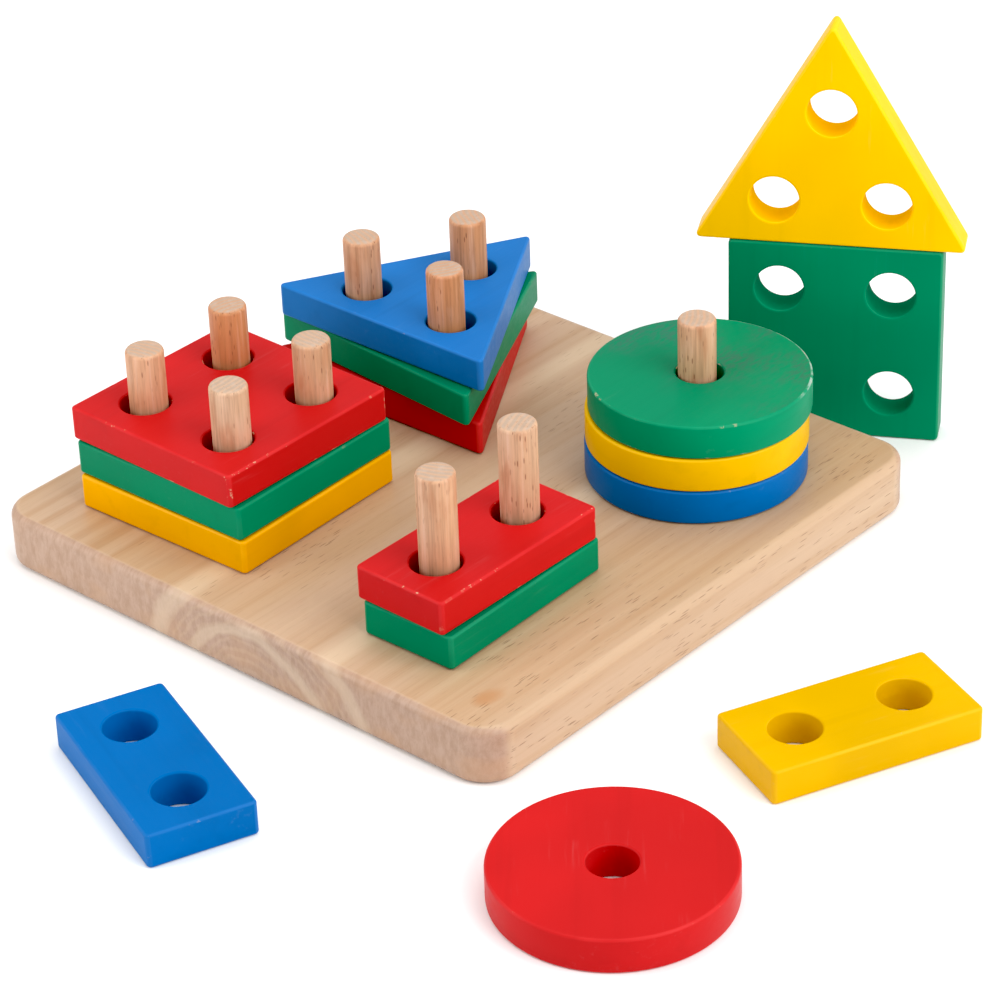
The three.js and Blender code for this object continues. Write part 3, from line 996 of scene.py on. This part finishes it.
class SHAPEBOARD_OT_rectangles(bpy.types.Operator):
    """Make the four rectangle blocks"""

    bl_idname = "shape_board.rectangles"
    bl_label = "Rectangle Blocks"

    def execute(self, context):
        sizes = context.scene.shape_board_blocks

        def outline(low, high):
            bm = square_prism(1, low, high)
            bmesh.ops.scale(bm, verts=bm.verts, vec=(sizes.rectangle_width, sizes.rectangle_length, 1))
            round_edges(bm, upright_edges(bm), sizes.corner, BLOCK_CORNER_STEPS)
            return bm

        half = sizes.spacing / 2
        holes = [(0, -half), (0, half)]
        make_blocks(RECTANGLES, outline, holes, sizes.hole, context, first_seed=31.0)
        return {"FINISHED"}


class SHAPEBOARD_OT_discs(bpy.types.Operator):
    """Make the four disc blocks"""

    bl_idname = "shape_board.discs"
    bl_label = "Disc Blocks"

    def execute(self, context):
        sizes = context.scene.shape_board_blocks

        def outline(low, high):
            return prism(DISC_STEPS, sizes.disc_diameter / 2, low, high, round_wall=True)

        make_blocks(DISCS, outline, [(0, 0)], sizes.disc_hole, context, first_seed=47.0)
        return {"FINISHED"}


def soft_light(name, watts, size, place, target):
    """A large square light that faces its target."""
    lamp = bpy.data.lights.new(name, "AREA")
    lamp.shape = "SQUARE"
    lamp.size = size
    lamp.energy = watts
    holder = bpy.data.objects.new(name, lamp)
    bpy.context.scene.collection.objects.link(holder)
    holder.location = place
    holder.rotation_mode = "QUATERNION"
    holder.rotation_quaternion = (Vector(target) - Vector(place)).to_track_quat("-Z", "Y")


class SHAPEBOARD_OT_stage(bpy.types.Operator):
    """Make the floor, the lights and the camera"""

    bl_idname = "shape_board.stage"
    bl_label = "Stage"

    def execute(self, context):
        stage = context.scene.shape_board_stage
        self.make_floor(stage)
        self.make_light(context.scene, stage)
        self.make_camera(context.scene, stage)
        return {"FINISHED"}

    def make_floor(self, stage):
        """A plain pale floor just under the pieces."""
        bm = bmesh.new()
        bmesh.ops.create_grid(bm, x_segments=1, y_segments=1, size=FLOOR_HALF_WIDTH)
        bmesh.ops.translate(bm, verts=bm.verts, vec=(0, 0, -FLOOR_DROP))
        mesh = bpy.data.meshes.new("floor")
        bm.to_mesh(mesh)
        bm.free()
        floor = bpy.data.objects.new("floor", mesh)
        bpy.context.scene.collection.objects.link(floor)
        finish = Finish("pale_floor")
        here = finish.local((0, 0, 0), (0, 0, 0))
        haze = finish.noise(here, 4.0, 1.0, detail=2.0)
        tone = finish.mix(finish.spread(haze, 0.3, 0.7), tuple(stage.floor), darker(stage.floor, 0.01))
        finish.feed(finish.shader.inputs["Base Color"], tone)
        finish.shader.inputs["Roughness"].default_value = 0.9
        finish.shader.inputs["Specular IOR Level"].default_value = 0.1
        mesh.materials.append(finish.material)

    def make_light(self, scene, stage):
        """Even light from all round, and the soft studio lights."""
        world = bpy.data.worlds.new("studio")
        world.use_nodes = True
        world.node_tree.nodes.clear()
        output = world.node_tree.nodes.new("ShaderNodeOutputWorld")
        sky = world.node_tree.nodes.new("ShaderNodeBackground")
        sky.inputs["Color"].default_value = (1.0, 1.0, 1.0, 1.0)
        sky.inputs["Strength"].default_value = stage.sky
        world.node_tree.links.new(sky.outputs["Background"], output.inputs["Surface"])
        scene.world = world
        for name, power, width, place, target in LIGHTS:
            soft_light(name, getattr(stage, power), width, place, target)
        scene.view_settings.view_transform = "Standard"
        scene.view_settings.use_curve_mapping = True
        scene.view_settings.curve_mapping.black_level = (stage.black,) * 3

    def make_camera(self, scene, stage):
        """A camera that stands back from the board and looks along its own -Z."""
        ground = math.cos(stage.lift)
        back = Vector((math.sin(stage.turn) * ground, -math.cos(stage.turn) * ground, math.sin(stage.lift)))
        level = Vector((math.cos(stage.turn), math.sin(stage.turn), 0.0))
        upward = back.cross(level)
        right = level * math.cos(stage.roll) + upward * math.sin(stage.roll)
        rise = upward * math.cos(stage.roll) - level * math.sin(stage.roll)
        camera = bpy.data.cameras.new("camera")
        camera.lens = stage.lens
        camera.sensor_width = SENSOR_WIDTH
        camera.clip_end = 50.0
        holder = bpy.data.objects.new("camera", camera)
        scene.collection.objects.link(holder)
        holder.rotation_mode = "QUATERNION"
        holder.rotation_quaternion = Matrix((right, rise, back)).transposed().to_quaternion()
        holder.location = back * stage.distance + right * stage.right + rise * stage.rise
        scene.camera = holder


class SHAPEBOARD_PT_panel(bpy.types.Panel):
    """Lists the pieces of the board with their sizes and colours"""

    bl_idname = "SHAPEBOARD_PT_panel"
    bl_label = "Shape Sorting Board"
    bl_space_type = "VIEW_3D"
    bl_region_type = "UI"
    bl_category = "Shape Board"

    def draw(self, context):
        for step in STEPS:
            self.layout.operator(step.bl_idname)
        for name in GROUPS:
            box = self.layout.box()
            group = getattr(context.scene, name)
            for field in group.__annotations__:
                box.prop(group, field)


GROUPS = {
    "shape_board_board": SHAPEBOARD_PG_board,
    "shape_board_pegs": SHAPEBOARD_PG_pegs,
    "shape_board_blocks": SHAPEBOARD_PG_blocks,
    "shape_board_finishes": SHAPEBOARD_PG_finishes,
    "shape_board_stage": SHAPEBOARD_PG_stage,
}
STEPS = (
    SHAPEBOARD_OT_board,
    SHAPEBOARD_OT_pegs,
    SHAPEBOARD_OT_squares,
    SHAPEBOARD_OT_triangles,
    SHAPEBOARD_OT_rectangles,
    SHAPEBOARD_OT_discs,
    SHAPEBOARD_OT_stage,
)
CLASSES = (*GROUPS.values(), *STEPS, SHAPEBOARD_PT_panel)


def register():
    for cls in CLASSES:
        bpy.utils.register_class(cls)
    for name, group in GROUPS.items():
        setattr(bpy.types.Scene, name, bpy.props.PointerProperty(type=group))


def unregister():
    for name in GROUPS:
        delattr(bpy.types.Scene, name)
    for cls in reversed(CLASSES):
        bpy.utils.unregister_class(cls)


def main():
    register()
    bpy.ops.shape_board.board()
    bpy.ops.shape_board.pegs()
    bpy.ops.shape_board.squares()
    bpy.ops.shape_board.triangles()
    bpy.ops.shape_board.rectangles()
    bpy.ops.shape_board.discs()
    bpy.ops.shape_board.stage()


if __name__ == "__main__":
    main()
